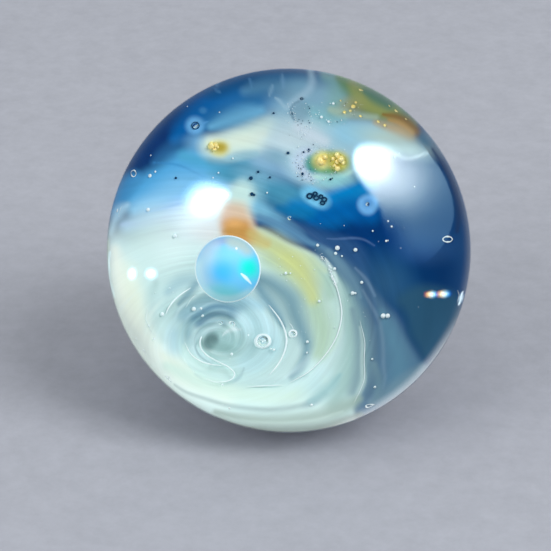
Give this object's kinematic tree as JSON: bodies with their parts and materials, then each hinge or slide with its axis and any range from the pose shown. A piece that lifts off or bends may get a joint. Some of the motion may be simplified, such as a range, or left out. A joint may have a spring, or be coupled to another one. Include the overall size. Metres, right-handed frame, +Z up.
{
  "type": "glass marble",
  "caption": "Clear glass ball over a dish of coloured glass, with a pale whirl, a comet streak, metal flecks and an opal bead sealed inside.",
  "frame": {"origin": "centre of the ball", "axes": "+Z up as it sits on its ring; the clear lens faces -Y and 30 degrees up"},
  "size_m": [0.04, 0.04, 0.04],
  "materials": {
    "clear_glass": "fire polished, clear",
    "blue_glass": "deep blue, streaked, opaque in depth",
    "mint_glass": "pale mint and white, streaked",
    "white_glass": "white, glossy",
    "amber_glass": "orange to yellow-green, soft edged",
    "cream_glass": "cream, soft edged",
    "green_glass": "green and brown, mottled",
    "gold_metal": "bright gold beads",
    "opal_stone": "polished opal with play of colour"
  },
  "bodies": {
    "root": {"clear_glass": "clear_glass", "blue_ground": "blue_glass", "pale_swirl": "mint_glass", "white_canes": "white_glass", "amber_streak": "amber_glass", "comet_streak": "cream_glass", "green_patch": "green_glass", "gold_flecks": "gold_metal", "opal": "opal_stone"}
  },
  "joints": []
}
